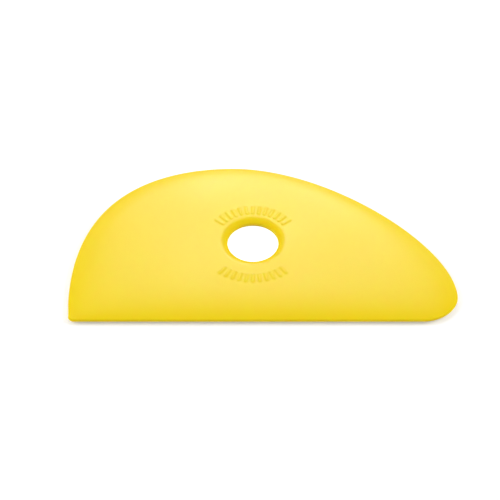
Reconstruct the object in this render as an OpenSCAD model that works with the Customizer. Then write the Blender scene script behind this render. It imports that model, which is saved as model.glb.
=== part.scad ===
// Soft potter's rib: one flexible moulded blade with a finger hole.
// The blade lies flat. X runs along the straight edge, from the square end to the nose.
// Y runs from the straight edge to the curved back, and Z is up.
// The origin lies under the middle of the blade's length and depth, on the surface it rests on.

/* [Outline] */
// Length from the square end to the nose
blade_length = 165; // [150:1:190]
// Depth from the straight edge to the top of the curved back
blade_depth = 89; // [82:1:100]
// Distance from the square end to the highest point of the back
crown_setback = 69.3; // [60:0.1:80]
// Height above the straight edge at which the square end is widest
heel_rise = 12.1; // [9:0.1:20]
// Height above the straight edge at which the nose is foremost
nose_rise = 13.6; // [10:0.1:20]
// Distance from the foremost point of the nose back to the end of the straight edge
nose_run = 15.5; // [10:0.1:24]
// Radius of the corner between the square end and the straight edge
heel_round = 2.5; // [1.5:0.1:5]
// How far the square end leans in towards its lower corner
heel_lean = 0.4; // [0:0.1:1]

/* [Fullness of the curves] */
// Fullness of the back where it rises from the square end
heel_fullness = 0.88; // [0.5:0.01:0.95]
// Fullness of the back before its highest point
shoulder_fullness = 0.35; // [0.2:0.01:0.6]
// Fullness of the back after its highest point
crown_fullness = 0.45; // [0.3:0.01:0.6]
// Fullness of the back where it comes down to the nose
brow_fullness = 0.38; // [0.2:0.01:0.6]
// Fullness of the nose below its foremost point
nose_fullness = 0.46; // [0.3:0.01:0.7]
// Fullness of the curve that runs out into the straight edge
chin_fullness = 0.6; // [0.3:0.01:0.7]

/* [Thickness] */
// Thickness at the middle of the blade
mid_thickness = 4; // [3.6:0.1:5]
// Thickness of the rounded edge all round the blade
edge_thickness = 1.6; // [1:0.1:2]
// Clear height under the edge when the blade lies on a flat surface
edge_lift = 0.8; // [0.4:0.1:1.2]
// Softened distance from the outline at which the blade reaches its full thickness
crown_reach = 20; // [14:0.1:22]
// How suddenly the thickness falls away towards the edge
crown_power = 3; // [1.6:0.1:3.6]

/* [Finger hole] */
// Diameter of the hole
hole_d = 22; // [16:0.5:22]
// Distance from the square end to the middle of the hole
hole_setback = 78.2; // [70:0.1:88]
// Height of the middle of the hole above the straight edge
hole_rise = 43.7; // [38:0.1:48]
// Radius that rounds the hole's straight wall
hole_round = 0.5; // [0.4:0.1:0.6]
// Wider radius that runs the rounding out into each face
flare_round = 6; // [5:0.1:6.4]
// Width of the level ring that surrounds the rounded hole
level_ring = 1; // [0.8:0.1:3]

/* [Grip marks] */
// Gap between the level ring and the marks on the side of the curved back
back_mark_gap = 0.6; // [0.5:0.1:3]
// Gap between the level ring and the marks on the side of the straight edge
front_mark_gap = 4; // [0.5:0.1:5]
// Length of a mark, measured away from the hole
mark_length = 4.8; // [3:0.1:7]
// Width of a mark
mark_width = 1.2; // [0.8:0.1:1.6]
// Height of the marks above the face
mark_height = 0.2; // [0.1:0.05:0.4]
// Distance from one mark to the next along the middle of their arc
mark_pitch = 2.8; // [2:0.1:3.4]
// Number of marks in the arc on the side of the curved back
back_marks = 13; // [3:2:15]
// Number of marks in the arc on the side of the straight edge
front_marks = 11; // [3:2:15]

/* [Hidden] */
blade_colour = "#fde25f";

half_length = blade_length / 2;
half_depth = blade_depth / 2;
crown_x = crown_setback - half_length;
heel_y = heel_rise - half_depth;
nose_y = nose_rise - half_depth;
chin_x = half_length - nose_run;
corner_centre = [heel_lean + heel_round - half_length, heel_round - half_depth];
hole_centre = [hole_setback - half_length, hole_rise - half_depth];

// Points along each stretch of the outline
back_points = 24;
brow_points = 28;
nose_points = 14;
straight_points = 28;
corner_points = 6;
side_points = 5;

// Rings of points from the rounded edge to the level ring
taper_rings = 9;
edge_rings = 3;

edge_radius = edge_thickness / 2;
edge_mid_z = edge_lift + edge_radius;
top_fall = mid_thickness - edge_lift - edge_thickness;

// Steepness of each face where it meets the rounded edge
top_slope = atan(crown_power * top_fall / crown_reach);
under_slope = atan(crown_power * edge_lift / crown_reach);

// The hole's rounding changes from its tight radius to its wide one once it has turned by the angle
// that has this cosine and sine. Both are exact, so the two arcs meet in one point.
turn_cosine = 0.6;
turn_sine = 0.8;
// The wide arc would peak this far above the face, so it meets the face a little short of level
flare_rise = 0.04;
wall_half = mid_thickness / 2 + flare_rise - turn_sine * hole_round
    - (1 - turn_sine) * flare_round;
turn_radius = hole_d / 2 + (1 - turn_cosine) * hole_round;
flare_centre = [
    turn_radius + turn_cosine * flare_round,
    wall_half + turn_sine * (hole_round - flare_round)];
flare_edge = flare_centre[0] - sqrt(pow(flare_round, 2) - pow(flare_round - flare_rise, 2));

level_radius = flare_edge + level_ring;
// How deep the marks are rooted in the blade
mark_root = 1;

// How far the cutter for the hole stands out of the blade
cut_spare = 2;
$fn = 96;

// Point of a cubic curve, and its direction, at the share t of its run
function cubic(a, b, c, d, t) =
    pow(1 - t, 3) * a + 3 * pow(1 - t, 2) * t * b + 3 * (1 - t) * pow(t, 2) * c + pow(t, 3) * d;
function cubic_heading(a, b, c, d, t) =
    pow(1 - t, 2) * (b - a) + 2 * (1 - t) * t * (c - b) + pow(t, 2) * (d - c);

// The outline runs clockwise, so outwards is to the left of its heading
function left_of(heading) = [-heading[1], heading[0]] / norm(heading);

// A curve's points, each with its outward direction, without the last point
function curve_stretch(a, b, c, d, count) =
    [for (i = [0 : count - 1])
        [cubic(a, b, c, d, i / count), left_of(cubic_heading(a, b, c, d, i / count))]];

// Quarter curves that leave a upright and reach d level, or the other way round
function rising_quarter(a, d, fullness_a, fullness_d, count) =
    curve_stretch(
        a,
        [a[0], a[1] + fullness_a * (d[1] - a[1])],
        [d[0] - fullness_d * (d[0] - a[0]), d[1]],
        d,
        count);
function falling_quarter(a, d, fullness_a, fullness_d, count) =
    curve_stretch(
        a,
        [a[0] + fullness_a * (d[0] - a[0]), a[1]],
        [d[0], d[1] - fullness_d * (d[1] - a[1])],
        d,
        count);

heel_point = [-half_length, heel_y];
crown_point = [crown_x, half_depth];
nose_point = [half_length, nose_y];
chin_point = [chin_x, -half_depth];
corner_foot = [corner_centre[0], -half_depth];
side_foot = [corner_centre[0] - heel_round, corner_centre[1]];
side_half = [0, (heel_y - side_foot[1]) / 2];

// The whole outline, as pairs of a point and its outward direction
outline = concat(
    rising_quarter(heel_point, crown_point, heel_fullness, shoulder_fullness, back_points),
    falling_quarter(crown_point, nose_point, crown_fullness, brow_fullness, brow_points),
    rising_quarter(nose_point, chin_point, nose_fullness, chin_fullness, nose_points),
    [for (i = [0 : straight_points - 1])
        [chin_point + i / straight_points * (corner_foot - chin_point), [0, -1]]],
    [for (i = [0 : corner_points - 1])
        let (angle = 270 - 90 * i / corner_points, outward = [cos(angle), sin(angle)])
        [corner_centre + heel_round * outward, outward]],
    curve_stretch(side_foot, side_foot + side_half, heel_point - side_half, heel_point, side_points));
count = len(outline);

function total(values) = values * [for (v = values) 1];

// What the straight run from a to b adds to the closeness of the outline at point p
function closeness_of_run(p, a, b) =
    let (
        along = (b - a) / norm(b - a),
        height = (a - p) * left_of(along))
    ((b - p) * along / norm(b - p) - (a - p) * along / norm(a - p)) / height;

// Distance from the outline, true beside the edge and levelling off between opposite edges
function soft_distance(p) =
    2 / total([for (i = [0 : count - 1])
        closeness_of_run(p, outline[i][0], outline[(i + 1) % count][0])]);

// Share of the full rise that a face has reached at point p
function crown_share(p, start) =
    let (reach = min(1, max(0, (soft_distance(p) - start) / (crown_reach - start))))
    1 - pow(1 - reach, crown_power);

// Plan of an outline point that is moved inwards by the inset, then by a share t of its way to
// the level ring round the hole
function ring_plan(i, inset, t) =
    let (
        start = outline[i][0] - inset * outline[i][1],
        inward = start - hole_centre,
        level = hole_centre + level_radius * inward / norm(inward))
    start + t * (level - start);

// The rings of one face, from beside the edge to the level ring
function face_rings(inset, edge_z, level_z) =
    [for (k = [1 : taper_rings])
        let (t = pow(k / taper_rings, 1.4))
        [for (i = [0 : count - 1])
            let (
                plan = ring_plan(i, inset, t),
                share = k == taper_rings ? 1 : crown_share(plan, inset))
            [plan[0], plan[1], edge_z + share * (level_z - edge_z)]]];

// One ring of the rounded edge, at an angle above or below its widest line
function edge_ring(angle) =
    let (inset = edge_radius * (1 - cos(angle)))
    [for (i = [0 : count - 1])
        let (plan = ring_plan(i, inset, 0))
        [plan[0], plan[1], edge_mid_z + edge_radius * sin(angle)]];

function reversed(list) = [for (i = [len(list) - 1 : -1 : 0]) list[i]];

top_angle = 90 - top_slope;
under_angle = 90 - under_slope;
top_inset = edge_radius * (1 - cos(top_angle));
under_inset = edge_radius * (1 - cos(under_angle));

rings = concat(
    reversed(face_rings(under_inset, edge_mid_z - edge_radius * sin(under_angle), 0)),
    [for (k = [edge_rings : -1 : 1]) edge_ring(-under_angle * k / edge_rings)],
    [edge_ring(0)],
    [for (k = [1 : edge_rings]) edge_ring(top_angle * k / edge_rings)],
    face_rings(top_inset, edge_mid_z + edge_radius * sin(top_angle), mid_thickness));

// The blade before its hole is cut
module blank() {
    last = len(rings) - 1;
    polyhedron(
        points = [for (ring = rings) each ring],
        faces = concat(
            [[for (i = [count - 1 : -1 : 0]) i]],
            [for (k = [0 : last - 1], i = [0 : count - 1])
                each [
                    [k * count + i, k * count + (i + 1) % count, (k + 1) * count + (i + 1) % count],
                    [k * count + i, (k + 1) * count + (i + 1) % count, (k + 1) * count + i]]],
            [[for (i = [0 : count - 1]) last * count + i]]),
        convexity = 4);
}

// Half of the section of the blade's rim beside the hole, above the middle of the wall
module rim_section() {
    translate([hole_d / 2, 0]) square([flare_centre[0] - hole_d / 2, wall_half]);
    translate([hole_d / 2 + hole_round, wall_half]) circle(r = hole_round);
    intersection() {
        translate(flare_centre) circle(r = flare_round);
        translate([turn_radius, 0]) square([flare_round, mid_thickness]);
    }
}

// The hole's cutter: a straight wall that flares into both faces on true arcs
module finger_hole() {
    translate([hole_centre[0], hole_centre[1], mid_thickness / 2])
    rotate_extrude()
    difference() {
        translate([0, -mid_thickness / 2 - cut_spare])
        square([flare_centre[0], mid_thickness + 2 * cut_spare]);
        rim_section();
        mirror([0, 1]) rim_section();
    }
}

// A short raised bar with round ends, lying along X about the origin
module mark() {
    run = mark_length - mark_width;
    linear_extrude(mark_root + mark_height) {
        square([run, mark_width], center = true);
        translate([run / 2, 0]) circle(d = mark_width);
        translate([-run / 2, 0]) circle(d = mark_width);
    }
}

// An arc of marks round the hole, centred on the given direction
module mark_arc(marks, gap, direction) {
    arc_radius = level_radius + gap + mark_length / 2;
    step = mark_pitch / arc_radius * 180 / PI;
    for (i = [0 : marks - 1])
        translate([hole_centre[0], hole_centre[1], mid_thickness - mark_root])
        rotate(direction + (i - (marks - 1) / 2) * step)
        translate([arc_radius, 0, 0])
        mark();
}

module rib_blade() {
    color(blade_colour)
    difference() {
        union() {
            blank();
            mark_arc(back_marks, back_mark_gap, 90);
            mark_arc(front_marks, front_mark_gap, 270);
        }
        finger_hole();
    }
}

rib_blade();
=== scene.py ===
"""Looks of a soft potter's rib: its moulded blade, the polymer it is made of, and the studio it lies in."""

import math

import bpy
import numpy as np
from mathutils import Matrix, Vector


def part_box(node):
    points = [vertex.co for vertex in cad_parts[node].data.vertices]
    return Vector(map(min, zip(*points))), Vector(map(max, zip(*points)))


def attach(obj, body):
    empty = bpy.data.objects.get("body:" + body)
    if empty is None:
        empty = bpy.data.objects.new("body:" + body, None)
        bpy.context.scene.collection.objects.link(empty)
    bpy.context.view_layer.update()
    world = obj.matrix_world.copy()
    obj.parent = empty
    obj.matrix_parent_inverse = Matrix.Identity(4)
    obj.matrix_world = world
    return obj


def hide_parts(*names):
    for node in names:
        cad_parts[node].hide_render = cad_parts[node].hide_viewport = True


bl_info = {
    "name": "Potter's Rib",
    "version": (1, 0, 0),
    "blender": (4, 5, 0),
    "location": "3D View > Sidebar > Rib",
    "description": "Models a soft moulded potter's rib and the studio that shows it",
    "category": "Add Mesh",
}

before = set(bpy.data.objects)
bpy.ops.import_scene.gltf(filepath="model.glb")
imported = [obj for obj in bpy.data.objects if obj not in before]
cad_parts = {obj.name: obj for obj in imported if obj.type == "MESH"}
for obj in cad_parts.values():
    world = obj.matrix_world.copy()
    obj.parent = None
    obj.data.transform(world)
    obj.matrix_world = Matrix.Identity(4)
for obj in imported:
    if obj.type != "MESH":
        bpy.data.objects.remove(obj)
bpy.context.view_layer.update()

NODE = "rib_blade"
BODY = "root"

# The blade's box in the frame: its length, its depth, and its height with the raised marks
node_low, node_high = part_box(NODE)

# Samples along each curve of the outline, from which everything else is read off
CURVE_SAMPLES = 160
# The share of a straight handle that makes a cubic curve a quarter circle
QUARTER_CIRCLE = 0.5523
# The section is laid on a circle of this radius before its points go to their places
SECTION_CIRCLE = 0.01

# How far red, green and blue light travel inside the polymer, against one another
SCATTER_REACH = (1.0, 0.6, 0.1)
# A noise stays mostly between these two values
NOISE_LOW, NOISE_HIGH = 0.2, 0.8
# Scale and detail of the cloudy colour, of the patches of gloss and of the mould's grain
CLOUDS = (18, 1)
GLOSS_PATCHES = (45, 1)
GRAIN = (2600, 2)
# How far the roughness goes to either side of its middle
ROUGHNESS_SPREAD = 0.03
GRAIN_STRENGTH = 0.12
GRAIN_HEIGHT = 0.00006

# The floor ends where the soft boxes still light it white, so a low view sees no grey beyond it
FLOOR_SIZE = 1.8
FLOOR_COLOUR = (0.8, 0.8, 0.8, 1)
WHITE = (1, 1, 1, 1)
# The floor is lifted most within this distance of the finger hole's middle, and least this much further out:
# painted light that whitens the shadow falling on the floor inside the hole
HOLE_PAINTED_LIGHT_RADIUS = 0.012
HOLE_PAINTED_LIGHT_FADE = 0.002

# Place, width and height of the soft boxes that stay where they are
OVER_BOX = ((0, 0.3, 0.4), (0.3, 0.3))
LEFT_BOX = ((-0.8, 0.1, 0.5), (0.6, 0.6))
RIGHT_BOX = ((0.8, 0.1, 0.5), (0.6, 0.6))
FRONT_BOX = ((0, -0.8, 0.12), (0.8, 0.2))
# Every soft box is turned towards the frame's origin, under the middle of the blade
LAMP_AIM = Vector((0, 0, 0))
CLIP_START = 0.01


class BladeSettings(bpy.types.PropertyGroup):
    """Sizes of the blade that its box in the frame doesn't give."""

    crown_setback: bpy.props.FloatProperty(
        name="Crown Setback",
        description="Distance from the square end to the highest point of the back",
        default=0.0693,
        unit="LENGTH",
    )
    heel_rise: bpy.props.FloatProperty(
        name="Heel Rise",
        description="Height above the straight edge at which the square end is widest",
        default=0.0121,
        unit="LENGTH",
    )
    nose_rise: bpy.props.FloatProperty(
        name="Nose Rise",
        description="Height above the straight edge at which the nose is foremost",
        default=0.0136,
        unit="LENGTH",
    )
    nose_run: bpy.props.FloatProperty(
        name="Nose Run",
        description="Distance from the foremost point of the nose back to the end of the straight edge",
        default=0.0155,
        unit="LENGTH",
    )
    heel_round: bpy.props.FloatProperty(
        name="Heel Radius",
        description="Radius of the corner between the square end and the straight edge",
        default=0.0025,
        unit="LENGTH",
    )
    heel_lean: bpy.props.FloatProperty(
        name="Heel Lean",
        description="How far the square end leans in towards its lower corner",
        default=0.0004,
        unit="LENGTH",
    )
    back_fullness: bpy.props.FloatVectorProperty(
        name="Back Fullness",
        description="Fullness of the back at the heel, before the crown, after the crown and at the nose",
        size=4,
        default=(0.88, 0.35, 0.45, 0.38),
    )
    nose_fullness: bpy.props.FloatVectorProperty(
        name="Nose Fullness",
        description="Fullness of the curve below the nose, at the nose and at the straight edge",
        size=2,
        default=(0.46, 0.6),
    )
    edge_thickness: bpy.props.FloatProperty(
        name="Edge Thickness",
        description="Thickness of the rounded edge all round the blade",
        default=0.0016,
        unit="LENGTH",
    )
    edge_lift: bpy.props.FloatProperty(
        name="Edge Lift",
        description="Clear height under the edge when the blade lies on a flat surface",
        default=0.0008,
        unit="LENGTH",
    )
    crown_reach: bpy.props.FloatProperty(
        name="Crown Reach",
        description="Softened distance from the outline at which the blade reaches its full thickness",
        default=0.02,
        unit="LENGTH",
    )
    crown_power: bpy.props.FloatProperty(
        name="Crown Power",
        description="How suddenly the thickness falls away towards the edge",
        default=3.0,
    )
    parting_bead: bpy.props.FloatProperty(
        name="Parting Bead",
        description="Height of the faint line that the mould leaves round the edge",
        default=0.00004,
        unit="LENGTH",
        precision=5,
    )


class HoleSettings(bpy.types.PropertyGroup):
    """Sizes of the finger hole and of the raised marks round it."""

    setback: bpy.props.FloatProperty(
        name="Setback",
        description="Distance from the square end to the middle of the hole",
        default=0.0782,
        unit="LENGTH",
    )
    rise: bpy.props.FloatProperty(
        name="Rise",
        description="Height of the middle of the hole above the straight edge",
        default=0.0437,
        unit="LENGTH",
    )
    radius: bpy.props.FloatProperty(
        name="Radius",
        description="Radius of the hole's straight wall",
        default=0.011,
        unit="LENGTH",
    )
    rounding: bpy.props.FloatProperty(
        name="Rounding",
        description="Radius that rounds the hole's straight wall",
        default=0.0005,
        unit="LENGTH",
    )
    flare: bpy.props.FloatProperty(
        name="Flare",
        description="Wider radius that runs the rounding out into each face",
        default=0.006,
        unit="LENGTH",
    )
    level_ring: bpy.props.FloatProperty(
        name="Level Ring",
        description="Width of the level ring that surrounds the rounded hole",
        default=0.001,
        unit="LENGTH",
    )
    back_mark_gap: bpy.props.FloatProperty(
        name="Back Mark Gap",
        description="Gap between the level ring and the marks on the side of the curved back",
        default=0.0006,
        unit="LENGTH",
    )
    front_mark_gap: bpy.props.FloatProperty(
        name="Front Mark Gap",
        description="Gap between the level ring and the marks on the side of the straight edge",
        default=0.004,
        unit="LENGTH",
    )
    mark_length: bpy.props.FloatProperty(
        name="Mark Length",
        description="Length of a mark, measured away from the hole",
        default=0.0048,
        unit="LENGTH",
    )
    mark_width: bpy.props.FloatProperty(
        name="Mark Width",
        description="Width of a mark",
        default=0.0012,
        unit="LENGTH",
    )
    mark_height: bpy.props.FloatProperty(
        name="Mark Height",
        description="Height of the marks above the face",
        default=0.0002,
        unit="LENGTH",
        precision=5,
    )
    mark_flank: bpy.props.FloatProperty(
        name="Mark Flank",
        description="Width over which a mark's soft side runs out into the face",
        default=0.001,
        unit="LENGTH",
        precision=5,
    )
    mark_pitch: bpy.props.FloatProperty(
        name="Mark Pitch",
        description="Distance from one mark to the next along the middle of their arc",
        default=0.0028,
        unit="LENGTH",
    )
    back_marks: bpy.props.IntProperty(
        name="Back Marks",
        description="Number of marks in the arc on the side of the curved back",
        default=13,
    )
    front_marks: bpy.props.IntProperty(
        name="Front Marks",
        description="Number of marks in the arc on the side of the straight edge",
        default=11,
    )


class PolymerSettings(bpy.types.PropertyGroup):
    """Colour and finish of the moulded polymer."""

    colour: bpy.props.FloatVectorProperty(
        name="Colour",
        description="Colour of the polymer",
        subtype="COLOR",
        size=3,
        default=(0.972, 0.708, 0.004),
    )
    deep_colour: bpy.props.FloatVectorProperty(
        name="Deep Colour",
        description="Slightly deeper colour of the polymer's cloudy patches",
        subtype="COLOR",
        size=3,
        default=(0.957, 0.69, 0.003),
    )
    roughness: bpy.props.FloatProperty(
        name="Roughness",
        description="Middle of the range over which the satin finish varies",
        default=0.32,
        subtype="FACTOR",
    )
    gloss: bpy.props.FloatProperty(
        name="Gloss",
        description="Strength of the surface reflection",
        default=0.5,
        subtype="FACTOR",
    )
    depth: bpy.props.FloatProperty(
        name="Scatter Depth",
        description="How far light travels inside the polymer",
        default=0.002,
        unit="LENGTH",
    )
    scatter: bpy.props.FloatProperty(
        name="Scatter",
        description="Share of the light that travels inside the polymer",
        default=0.5,
        subtype="FACTOR",
    )


class StageSettings(bpy.types.PropertyGroup):
    """The studio: its floor, its lamps and its camera."""

    elevation: bpy.props.FloatProperty(
        name="Elevation",
        description="Angle at which the camera looks down on the blade",
        default=math.radians(47.97),
        subtype="ANGLE",
    )
    distance: bpy.props.FloatProperty(
        name="Distance",
        description="Distance from the camera to the point it is aimed at",
        default=0.9,
        unit="LENGTH",
    )
    target: bpy.props.FloatVectorProperty(
        name="Target",
        description="Point that the camera is aimed at",
        subtype="TRANSLATION",
        size=3,
        default=(-0.00558, -0.00409, 0.0015),
    )
    lens: bpy.props.FloatProperty(
        name="Lens",
        description="Focal length of the camera, in millimetres",
        default=149.9,
    )
    key_place: bpy.props.FloatVectorProperty(
        name="Key Place",
        description="Place of the upper of the two far soft boxes behind the blade",
        subtype="TRANSLATION",
        size=3,
        default=(0.02, 0.82, 0.75),
    )
    key_power: bpy.props.FloatProperty(
        name="Key Power",
        description="Power of the upper far soft box, in watts",
        default=1.1,
    )
    lower_place: bpy.props.FloatVectorProperty(
        name="Lower Place",
        description="Place of the lower of the two far soft boxes behind the blade",
        subtype="TRANSLATION",
        size=3,
        default=(0.02, 0.9, 0.62),
    )
    lower_power: bpy.props.FloatProperty(
        name="Lower Power",
        description="Power of the lower far soft box, in watts",
        default=0.97,
    )
    key_size: bpy.props.FloatVectorProperty(
        name="Key Size",
        description="Width and height of each far soft box",
        subtype="XYZ_LENGTH",
        size=2,
        default=(0.3, 0.3),
    )
    strip_place: bpy.props.FloatVectorProperty(
        name="Strip Place",
        description="Place of the long, low soft box close behind the blade",
        subtype="TRANSLATION",
        size=3,
        default=(0.0, 0.38, 0.28),
    )
    strip_size: bpy.props.FloatVectorProperty(
        name="Strip Size",
        description="Width and height of the low soft box",
        subtype="XYZ_LENGTH",
        size=2,
        default=(0.6, 0.14),
    )
    strip_power: bpy.props.FloatProperty(
        name="Strip Power",
        description="Power of the low soft box, in watts",
        default=0.19,
    )
    side_power: bpy.props.FloatProperty(
        name="Side Power",
        description="Power of each soft box beside the blade, in watts",
        default=6.25,
    )
    front_power: bpy.props.FloatProperty(
        name="Front Power",
        description="Power of the low soft box in front of the blade, in watts",
        default=1.55,
    )
    over_power: bpy.props.FloatProperty(
        name="Overhead Power",
        description="Power of the soft box above the back of the blade, in watts",
        default=0.22,
    )
    ambient: bpy.props.FloatProperty(
        name="Ambient",
        description="Strength of the even light from all round",
        default=0.125,
    )
    floor_glow: bpy.props.FloatProperty(
        name="Floor Glow",
        description="How much the floor is lifted towards white for the camera",
        default=0.35,
    )


def quarter(start, end, upright_first, start_fullness, end_fullness):
    """Control points of a curve that leaves its start upright and reaches its end level, or the reverse."""
    start, end = np.array(start), np.array(end)
    span = end - start
    if upright_first:
        return [start, start + (0, start_fullness * span[1]), end - (end_fullness * span[0], 0), end]
    return [start, start + (start_fullness * span[0], 0), end - (0, end_fullness * span[1]), end]


def outline_curves(blade):
    """Control points of the curves of the blade's outline, clockwise from the square end."""
    left, right = node_low.x, node_high.x
    front, back = node_low.y, node_high.y
    heel = (left, front + blade.heel_rise)
    crown = (left + blade.crown_setback, back)
    nose = (right, front + blade.nose_rise)
    chin = (right - blade.nose_run, front)
    corner_foot = (left + blade.heel_lean + blade.heel_round, front)
    side_foot = (left + blade.heel_lean, front + blade.heel_round)
    heel_full, shoulder_full, crown_full, brow_full = blade.back_fullness
    nose_full, chin_full = blade.nose_fullness
    third = (np.array(corner_foot) - chin) / 3
    half_side = (0, (heel[1] - side_foot[1]) / 2)
    return [
        quarter(heel, crown, True, heel_full, shoulder_full),
        quarter(crown, nose, False, crown_full, brow_full),
        quarter(nose, chin, True, nose_full, chin_full),
        [np.array(chin), chin + third, corner_foot - third, np.array(corner_foot)],
        quarter(corner_foot, side_foot, False, QUARTER_CIRCLE, QUARTER_CIRCLE),
        [np.array(side_foot), np.add(side_foot, half_side), np.subtract(heel, half_side), np.array(heel)],
    ]


def trace_outline(blade):
    """Points all round the outline, and the direction outwards at each."""
    points, outwards = [], []
    t = np.linspace(0, 1, CURVE_SAMPLES, endpoint=False)[:, None]
    for a, b, c, d in outline_curves(blade):
        points.append((1 - t) ** 3 * a + 3 * (1 - t) ** 2 * t * b + 3 * (1 - t) * t ** 2 * c + t ** 3 * d)
        heading = (1 - t) ** 2 * (b - a) + 2 * (1 - t) * t * (c - b) + t ** 2 * (d - c)
        heading /= np.linalg.norm(heading, axis=1)[:, None]
        outwards.append(np.column_stack([-heading[:, 1], heading[:, 0]]))
    return np.vstack(points), np.vstack(outwards)


def soft_distance(plan, outline):
    """Distance from the outline: true beside it, and levelling off between opposite edges."""
    closeness = np.zeros(len(plan))
    for a, b in zip(outline, np.roll(outline, -1, axis=0)):
        along = (b - a) / np.linalg.norm(b - a)
        height = (a - plan) @ np.array([-along[1], along[0]])
        near, far = a - plan, b - plan
        spread = far @ along / np.linalg.norm(far, axis=1) - near @ along / np.linalg.norm(near, axis=1)
        closeness += spread / height
    return 2 / closeness


def smooth_step(x):
    """Rises softly from 0 to 1 as x goes from 0 to 1."""
    x = np.clip(x, 0, 1)
    return x * x * (3 - 2 * x)


class BladeShape:
    """Where every ring and spoke of the blade lies, worked out from the sizes."""

    # Spokes from one mark to the next, and how far the rest may be apart in length and in bend
    SPOKES_PER_MARK = 20
    LENGTH_STEP = 0.0021
    BEND_STEP = math.radians(5)
    # Every how many samples of the outline count as one straight run for the softened distance
    RUN = 4
    # Distance between rings where the marks stand
    BAND_STEP = 0.0002
    # The hole's rounding goes over to its wider radius once it has turned by this angle
    TURN = math.asin(0.8)
    # The wide arc would peak this far above the face, so it meets the face a little short of level
    FLARE_RISE = 0.00004
    # Points along half of the hole's tight rounding, and along its wide one
    ROUNDING_POINTS = 5
    FLARE_POINTS = 9
    # Rings from the marks out to the rounded edge on each face, and below the marks on the lower one
    UPPER_RINGS = 24
    LOWER_RINGS = 16
    LOWER_BAND_RINGS = 4
    # Rings of half of the rounded edge
    EDGE_RINGS = 9
    # How closely the rings crowd towards the rounded edge, and on it towards the mould's line
    FACE_CROWDING = 1.5
    EDGE_CROWDING = 1.4
    # How far the rounded edge turns while the mould's line fades out
    BEAD_TURN = math.radians(9)

    def __init__(self, blade, hole):
        self.blade = blade
        self.hole = hole
        self.centre = np.array([node_low.x + hole.setback, node_low.y + hole.rise])
        self.bottom = node_low.z
        self.top = node_high.z - hole.mark_height
        self.outline, self.outwards = trace_outline(blade)
        self.wall_half = (self.top - self.bottom) / 2 + self.FLARE_RISE - hole.rounding * math.sin(self.TURN)
        self.wall_half -= hole.flare * (1 - math.sin(self.TURN))
        self.sweep = math.asin(1 - self.FLARE_RISE / hole.flare)
        self.flare_centre = hole.radius + hole.rounding + (hole.flare - hole.rounding) * math.cos(self.TURN)
        self.level_radius = self.flare_centre - hole.flare * math.cos(self.sweep) + hole.level_ring
        half_length = hole.mark_length / 2
        back = self.level_radius + hole.back_mark_gap + half_length
        front = self.level_radius + hole.front_mark_gap + half_length
        # Middle direction, radius, number of marks and angle between marks of each arc
        self.arcs = [
            (-math.pi / 2, front, hole.front_marks, hole.mark_pitch / front),
            (math.pi / 2, back, hole.back_marks, hole.mark_pitch / back),
        ]
        self.band_inner = back - half_length - hole.mark_flank / 2
        self.band_outer = front + half_length + hole.mark_flank / 2
        self.edge_radius = blade.edge_thickness / 2
        self.edge_mid = self.bottom + blade.edge_lift + self.edge_radius
        self.spokes = self.spoke_angles()
        self.directions = np.column_stack([np.cos(self.spokes), np.sin(self.spokes)])
        self.ends, self.end_outwards = self.outline_at_spokes()

    def turned_outline(self):
        """The outline anticlockwise, three times round, by direction from the hole's middle."""
        arm = self.outline - self.centre
        angle = np.unwrap(np.arctan2(arm[:, 1], arm[:, 0]))[::-1]
        turn = 2 * math.pi
        angle -= turn * math.floor(angle[0] / turn + 0.5)
        angle = np.concatenate([angle - turn, angle, angle + turn])
        return angle, np.tile(self.outline[::-1], (3, 1)), np.tile(self.outwards[::-1], (3, 1))

    def spoke_angles(self):
        """Directions of the spokes: close and in step with the marks, and wider where the blade is plain."""
        angle, points, outwards = self.turned_outline()
        length = np.linalg.norm(np.diff(points, axis=0), axis=1)
        bend = np.arccos(np.clip(np.sum(outwards[1:] * outwards[:-1], axis=1), -1, 1))
        effort = np.concatenate([[0], np.cumsum(length / self.LENGTH_STEP + bend / self.BEND_STEP)])
        spokes = []
        for n, (middle, _, marks, step) in enumerate(self.arcs):
            count = (marks + 1) * self.SPOKES_PER_MARK
            half = (marks + 1) / 2 * step
            spokes.append(middle + np.linspace(-half, half, count + 1))
            next_middle, _, next_marks, next_step = self.arcs[(n + 1) % len(self.arcs)]
            gap_start = middle + half
            gap_end = next_middle - (next_marks + 1) / 2 * next_step
            if gap_end < gap_start:
                gap_end += 2 * math.pi
            first, last = np.interp([gap_start, gap_end], angle, effort)
            inner = np.linspace(first, last, math.ceil(last - first) + 1)[1:-1]
            spokes.append(np.interp(inner, effort, angle))
        return np.concatenate(spokes)

    def outline_at_spokes(self):
        """The outline's point, and its direction outwards, on each spoke."""
        angle, points, outwards = self.turned_outline()
        ends = np.column_stack([np.interp(self.spokes, angle, points[:, n]) for n in (0, 1)])
        turned = np.column_stack([np.interp(self.spokes, angle, outwards[:, n]) for n in (0, 1)])
        return ends, turned / np.linalg.norm(turned, axis=1)[:, None]

    def circle(self, radius):
        """Plan of a round ring about the hole."""
        return self.centre + radius * self.directions

    def inset(self, depth):
        """Plan of the outline, moved inwards."""
        return self.ends - depth * self.end_outwards

    def relief(self, plan):
        """Height that the raised marks add at each point."""
        hole = self.hole
        arm = plan - self.centre
        lift = np.zeros(len(plan))
        half_run = (hole.mark_length - hole.mark_width) / 2
        for middle, radius, marks, step in self.arcs:
            for n in range(marks):
                direction = middle + (n - (marks - 1) / 2) * step
                axis = np.array([math.cos(direction), math.sin(direction)])
                along = arm @ axis - radius
                across = arm @ np.array([-axis[1], axis[0]])
                beyond = np.maximum(np.abs(along) - half_run, 0)
                away = np.hypot(beyond, across) - hole.mark_width / 2
                lift = np.maximum(lift, smooth_step(0.5 - away / hole.mark_flank))
        return hole.mark_height * lift

    def face_angle(self, fall):
        """How far the rounded edge turns before it runs into a face that rises by the fall."""
        return math.pi / 2 - math.atan(self.blade.crown_power * fall / self.blade.crown_reach)

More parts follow.
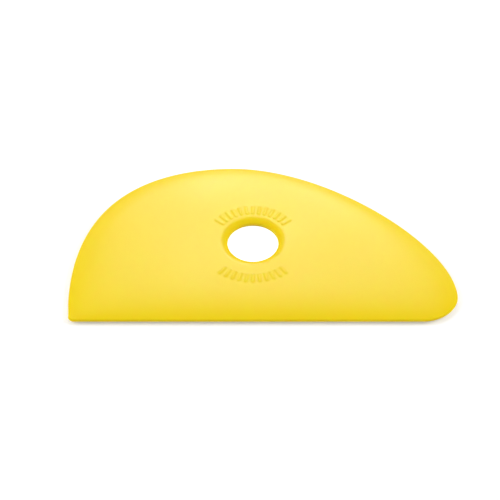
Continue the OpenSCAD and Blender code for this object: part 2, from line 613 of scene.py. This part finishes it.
    def face_height(self, plan, inset, edge_z, level_z):
        """Height of a face at each point of the plan."""
        reach = (soft_distance(plan, self.outline[:: self.RUN]) - inset) / (self.blade.crown_reach - inset)
        share = 1 - (1 - np.clip(reach, 0, 1)) ** self.blade.crown_power
        return edge_z + share * (level_z - edge_z)

    def face_rings(self, upper, outer_rings, band_radii):
        """Rings of one face, from the level ring out to the rounded edge."""
        fall = self.top - self.edge_mid - self.edge_radius if upper else self.blade.edge_lift
        turn = self.face_angle(fall)
        inset = self.edge_radius * (1 - math.cos(turn)) + self.blade.parting_bead
        sign = 1 if upper else -1
        edge_z = self.edge_mid + sign * self.edge_radius * math.sin(turn)
        level_z = self.top if upper else self.bottom
        edge = self.inset(inset)
        rings = [self.circle(radius) for radius in band_radii]
        inner = rings[-1]
        shares = 1 - (1 - np.arange(1, outer_rings) / outer_rings) ** self.FACE_CROWDING
        rings += [inner + share * (edge - inner) for share in shares]
        placed = []
        for plan in rings:
            height = self.face_height(plan, inset, edge_z, level_z)
            if upper:
                height = height + self.relief(plan)
            placed.append(np.column_stack([plan, height]))
        return placed

    def edge_rings(self):
        """Rings of the rounded edge, from the upper face to the lower one, with the mould's faint bead."""
        upper = self.face_angle(self.top - self.edge_mid - self.edge_radius)
        lower = self.face_angle(self.blade.edge_lift)
        shares = np.linspace(0, 1, self.EDGE_RINGS) ** self.EDGE_CROWDING
        turns = np.concatenate([upper * shares[::-1], -lower * shares[1:]])
        placed = []
        for turn in turns:
            bead = self.blade.parting_bead * (1 - math.exp(-((turn / self.BEAD_TURN) ** 2)))
            plan = self.inset(self.edge_radius * (1 - math.cos(turn)) + bead)
            height = np.full(len(plan), self.edge_mid + self.edge_radius * math.sin(turn))
            placed.append(np.column_stack([plan, height]))
        return placed

    def hole_rings(self):
        """Rings of the hole, from the lower face up to the upper one."""
        hole = self.hole
        middle = (self.top + self.bottom) / 2
        section = [(hole.radius, middle)]
        for turn in np.linspace(0, self.TURN, self.ROUNDING_POINTS):
            radius = hole.radius + hole.rounding * (1 - math.cos(turn))
            section.append((radius, middle + self.wall_half + hole.rounding * math.sin(turn)))
        centre_z = middle + self.wall_half + (hole.rounding - hole.flare) * math.sin(self.TURN)
        for turn in np.linspace(self.TURN, self.sweep, self.FLARE_POINTS)[1:]:
            radius = self.flare_centre - hole.flare * math.cos(turn)
            section.append((radius, centre_z + hole.flare * math.sin(turn)))
        below = [(radius, 2 * middle - z) for radius, z in section[:0:-1]]
        placed = []
        for radius, z in below + section:
            placed.append(np.column_stack([self.circle(radius), np.full(len(self.spokes), z)]))
        return placed

    def rings(self):
        """Every ring of the blade in order: up through the hole, out, round the edge and back below."""
        approach = np.linspace(self.level_radius, self.band_inner, 2)
        steps = round((self.band_outer - self.band_inner) / self.BAND_STEP)
        band = np.linspace(self.band_inner, self.band_outer, steps + 1)
        upper = self.face_rings(True, self.UPPER_RINGS, np.concatenate([approach, band[1:]]))
        plain_band = np.linspace(self.level_radius, self.band_outer, self.LOWER_BAND_RINGS)
        lower = self.face_rings(False, self.LOWER_RINGS, plain_band)
        return np.array(self.hole_rings() + upper + self.edge_rings() + lower[::-1])


def deselect_all():
    """Leaves object mode with nothing selected and nothing active."""
    if bpy.context.object and bpy.context.object.mode != "OBJECT":
        bpy.ops.object.mode_set(mode="OBJECT")
    bpy.ops.object.select_all(action="DESELECT")
    bpy.context.view_layer.objects.active = None


def spin_blank(shape, section):
    """Spins the blade's section along its first spoke into a round blank about the finger hole."""
    deselect_all()
    middle = (*shape.centre, 0)
    bpy.ops.mesh.primitive_circle_add(vertices=len(section), radius=SECTION_CIRCLE, location=middle)
    blank = bpy.context.object
    plan = section[:, :1] * shape.directions[0]
    blank.data.vertices.foreach_set("co", np.column_stack([plan, section[:, 1]]).ravel())
    bpy.ops.object.modifier_add(type="SCREW")
    spin = blank.modifiers[-1]
    spin.steps = spin.render_steps = len(shape.spokes)
    spin.use_merge_vertices = True
    bpy.ops.object.modifier_apply(modifier=spin.name)
    bpy.ops.object.transform_apply(location=True, rotation=True, scale=True)
    return blank


def draw_out(blank, shape, section, rings):
    """Moves every point of the round blank to its own place on the blade, ring by ring and spoke by spoke."""
    places = np.empty(len(blank.data.vertices) * 3)
    blank.data.vertices.foreach_get("co", places)
    places = places.reshape(-1, 3)
    arm = places[:, :2] - shape.centre
    radius, height = np.linalg.norm(arm, axis=1)[:, None], places[:, 2:]
    ring = np.argmin(np.hypot(radius - section[:, 0], height - section[:, 1]), axis=1)
    turned = np.arctan2(arm[:, 1], arm[:, 0]) - shape.spokes[0]
    spoke = np.rint(turned / (2 * math.pi) * len(shape.spokes)).astype(int) % len(shape.spokes)
    if len(set(zip(ring, spoke))) != rings.shape[0] * rings.shape[1]:
        raise RuntimeError("The spun blank doesn't have one point for each ring and spoke")
    blank.data.vertices.foreach_set("co", rings[ring, spoke].ravel())
    blank.data.update()


def smooth_skin(piece):
    """Turns the faces of the closed skin outwards and shades them smooth."""
    bpy.ops.object.mode_set(mode="EDIT")
    bpy.ops.mesh.select_all(action="SELECT")
    bpy.ops.mesh.normals_make_consistent(inside=False)
    bpy.ops.mesh.select_all(action="DESELECT")
    bpy.ops.object.mode_set(mode="OBJECT")
    bpy.ops.object.shade_smooth()


def noise(nodes, links, coordinates, scale, detail):
    """Adds a noise texture on the piece's own coordinates."""
    texture = nodes.new("ShaderNodeTexNoise")
    texture.inputs["Scale"].default_value = scale
    texture.inputs["Detail"].default_value = detail
    links.new(coordinates, texture.inputs["Vector"])
    return texture.outputs["Fac"]


def spread(nodes, links, value, low, high):
    """Spreads a noise's middle range over the given range."""
    ranger = nodes.new("ShaderNodeMapRange")
    ranger.interpolation_type = "SMOOTHSTEP"
    ranger.inputs["From Min"].default_value = NOISE_LOW
    ranger.inputs["From Max"].default_value = NOISE_HIGH
    ranger.inputs["To Min"].default_value = low
    ranger.inputs["To Max"].default_value = high
    links.new(value, ranger.inputs["Value"])
    return ranger.outputs["Result"]


def polymer_material(polymer):
    """Soft satin polymer, coloured right through, with the fine grain of its mould."""
    material = bpy.data.materials.new("soft_yellow_polymer")
    material.use_nodes = True
    nodes, links = material.node_tree.nodes, material.node_tree.links
    shader = nodes["Principled BSDF"]
    shader.inputs["Specular IOR Level"].default_value = polymer.gloss
    shader.inputs["Subsurface Weight"].default_value = polymer.scatter
    shader.inputs["Subsurface Radius"].default_value = SCATTER_REACH
    shader.inputs["Subsurface Scale"].default_value = polymer.depth
    coordinates = nodes.new("ShaderNodeTexCoord").outputs["Object"]

    mix = nodes.new("ShaderNodeMix")
    mix.data_type = "RGBA"
    clouds = noise(nodes, links, coordinates, *CLOUDS)
    links.new(spread(nodes, links, clouds, 0, 1), mix.inputs["Factor"])
    mix.inputs["A"].default_value = (*polymer.colour, 1)
    mix.inputs["B"].default_value = (*polymer.deep_colour, 1)
    links.new(mix.outputs["Result"], shader.inputs["Base Color"])

    patches = noise(nodes, links, coordinates, *GLOSS_PATCHES)
    smoothest, roughest = polymer.roughness - ROUGHNESS_SPREAD, polymer.roughness + ROUGHNESS_SPREAD
    rough = spread(nodes, links, patches, smoothest, roughest)
    links.new(rough, shader.inputs["Roughness"])

    grain = nodes.new("ShaderNodeBump")
    grain.inputs["Strength"].default_value = GRAIN_STRENGTH
    grain.inputs["Distance"].default_value = GRAIN_HEIGHT
    links.new(noise(nodes, links, coordinates, *GRAIN), grain.inputs["Height"])
    links.new(grain.outputs["Normal"], shader.inputs["Normal"])
    return material


class RIB_OT_blade(bpy.types.Operator):
    """Models the blade with its finger hole and raised marks, in place of the frame's own"""

    bl_idname = "rib.blade"
    bl_label = "Model the Blade"

    def execute(self, context):
        scene = context.scene
        shape = BladeShape(scene.rib_blade, scene.rib_hole)
        rings = shape.rings()
        section = np.column_stack([np.linalg.norm(rings[:, 0, :2] - shape.centre, axis=1), rings[:, 0, 2]])
        piece = spin_blank(shape, section)
        draw_out(piece, shape, section, rings)
        smooth_skin(piece)
        piece.name = "blade"
        piece.data.name = "blade"
        piece.data.materials.append(polymer_material(scene.rib_polymer))
        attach(piece, BODY)
        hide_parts(NODE)
        return {"FINISHED"}


def floor_material(stage, hole_centre):
    """Matt white floor that the camera sees lifted towards white, most of all through the finger hole, where
    painted light covers the shadow of the hole's wall.
    """
    material = bpy.data.materials.new("studio_floor")
    material.use_nodes = True
    nodes, links = material.node_tree.nodes, material.node_tree.links
    nodes.remove(nodes["Principled BSDF"])
    matt = nodes.new("ShaderNodeBsdfDiffuse")
    matt.inputs["Color"].default_value = FLOOR_COLOUR
    glow = nodes.new("ShaderNodeEmission")
    path = nodes.new("ShaderNodeLightPath")
    away = nodes.new("ShaderNodeVectorMath")
    away.operation = "DISTANCE"
    away.inputs[1].default_value = hole_centre
    links.new(nodes.new("ShaderNodeTexCoord").outputs["Object"], away.inputs[0])
    # Painted light: inside the finger hole the camera sees the floor at full white, over the shadow that the
    # hole's wall casts there
    level = nodes.new("ShaderNodeMapRange")
    level.inputs["From Min"].default_value = HOLE_PAINTED_LIGHT_RADIUS
    level.inputs["From Max"].default_value = HOLE_PAINTED_LIGHT_RADIUS + HOLE_PAINTED_LIGHT_FADE
    level.inputs["To Min"].default_value = 1
    level.inputs["To Max"].default_value = stage.floor_glow
    links.new(away.outputs["Value"], level.inputs["Value"])
    scale = nodes.new("ShaderNodeMath")
    scale.operation = "MULTIPLY"
    links.new(path.outputs["Is Camera Ray"], scale.inputs[0])
    links.new(level.outputs["Result"], scale.inputs[1])
    links.new(scale.outputs[0], glow.inputs["Strength"])
    both = nodes.new("ShaderNodeAddShader")
    links.new(matt.outputs[0], both.inputs[0])
    links.new(glow.outputs[0], both.inputs[1])
    links.new(both.outputs[0], nodes["Material Output"].inputs["Surface"])
    return material


def lay_floor(stage, hole):
    """Lays the floor that the blade rests on."""
    deselect_all()
    bpy.ops.mesh.primitive_plane_add(size=FLOOR_SIZE, location=(0, 0, node_low.z))
    floor = bpy.context.object
    floor.name = "floor"
    bpy.ops.object.transform_apply(location=True, rotation=True, scale=True)
    hole_centre = (node_low.x + hole.setback, node_low.y + hole.rise, node_low.z)
    floor.data.materials.append(floor_material(stage, hole_centre))


def add_lamp(name, place, size, power, mirrored):
    """Hangs a soft box at a place and turns it towards the blade. One that isn't mirrored makes no sheen."""
    deselect_all()
    bpy.ops.object.light_add(type="AREA", location=place)
    lamp = bpy.context.object
    lamp.name = name
    lamp.data.shape = "RECTANGLE"
    lamp.data.size, lamp.data.size_y = size
    lamp.data.energy = power
    lamp.visible_glossy = mirrored
    lamp.rotation_euler = (LAMP_AIM - Vector(place)).to_track_quat("-Z", "Y").to_euler()


def light_world(stage):
    """Even light from all round, which the camera sees as plain white."""
    world = bpy.data.worlds.new("studio")
    bpy.context.scene.world = world
    world.use_nodes = True
    nodes, links = world.node_tree.nodes, world.node_tree.links
    path = nodes.new("ShaderNodeLightPath")
    strength = nodes.new("ShaderNodeMapRange")
    strength.inputs["To Min"].default_value = stage.ambient
    strength.inputs["To Max"].default_value = 1
    links.new(path.outputs["Is Camera Ray"], strength.inputs["Value"])
    background = nodes["Background"]
    background.inputs["Color"].default_value = WHITE
    links.new(strength.outputs["Result"], background.inputs["Strength"])


def place_camera(stage):
    """Sets the camera where the photograph was taken from."""
    deselect_all()
    back = Vector((0, -math.cos(stage.elevation), math.sin(stage.elevation)))
    bpy.ops.object.camera_add(location=Vector(stage.target) + stage.distance * back)
    camera = bpy.context.object
    camera.rotation_euler = (math.pi / 2 - stage.elevation, 0, 0)
    camera.data.lens = stage.lens
    camera.data.clip_start = CLIP_START
    bpy.context.scene.camera = camera


class RIB_OT_stage(bpy.types.Operator):
    """Lays the floor, hangs the lamps and sets the camera"""

    bl_idname = "rib.stage"
    bl_label = "Set the Stage"

    def execute(self, context):
        stage = context.scene.rib_stage
        lay_floor(stage, context.scene.rib_hole)
        light_world(stage)
        add_lamp("key_box", stage.key_place, stage.key_size, stage.key_power, True)
        add_lamp("lower_box", stage.lower_place, stage.key_size, stage.lower_power, True)
        add_lamp("strip_box", stage.strip_place, stage.strip_size, stage.strip_power, True)
        add_lamp("over_box", *OVER_BOX, stage.over_power, True)
        # The boxes beside and in front of the blade light it without a mirror image in it
        add_lamp("left_box", *LEFT_BOX, stage.side_power, False)
        add_lamp("right_box", *RIGHT_BOX, stage.side_power, False)
        add_lamp("front_box", *FRONT_BOX, stage.front_power, False)
        place_camera(stage)
        context.scene.view_settings.view_transform = "Standard"
        return {"FINISHED"}


class RIB_PT_panel(bpy.types.Panel):
    """Lists the rib's settings and its operators"""

    bl_idname = "RIB_PT_panel"
    bl_label = "Potter's Rib"
    bl_space_type = "VIEW_3D"
    bl_region_type = "UI"
    bl_category = "Rib"

    def draw(self, context):
        scene = context.scene
        groups = ((scene.rib_blade, "Blade"), (scene.rib_hole, "Finger Hole"),
                  (scene.rib_polymer, "Polymer"), (scene.rib_stage, "Stage"))
        for settings, title in groups:
            box = self.layout.box()
            box.label(text=title)
            for name in settings.__annotations__:
                box.prop(settings, name)
        self.layout.operator(RIB_OT_blade.bl_idname)
        self.layout.operator(RIB_OT_stage.bl_idname)


CLASSES = (
    BladeSettings,
    HoleSettings,
    PolymerSettings,
    StageSettings,
    RIB_OT_blade,
    RIB_OT_stage,
    RIB_PT_panel,
)


def register():
    """Adds the classes, and the settings to the scene."""
    for cls in CLASSES:
        bpy.utils.register_class(cls)
    bpy.types.Scene.rib_blade = bpy.props.PointerProperty(type=BladeSettings)
    bpy.types.Scene.rib_hole = bpy.props.PointerProperty(type=HoleSettings)
    bpy.types.Scene.rib_polymer = bpy.props.PointerProperty(type=PolymerSettings)
    bpy.types.Scene.rib_stage = bpy.props.PointerProperty(type=StageSettings)


def unregister():
    """Takes the settings and the classes away again."""
    del bpy.types.Scene.rib_stage
    del bpy.types.Scene.rib_polymer
    del bpy.types.Scene.rib_hole
    del bpy.types.Scene.rib_blade
    for cls in reversed(CLASSES):
        bpy.utils.unregister_class(cls)


def main():
    """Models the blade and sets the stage."""
    register()
    bpy.ops.rib.blade()
    bpy.ops.rib.stage()


if __name__ == "__main__":
    main()
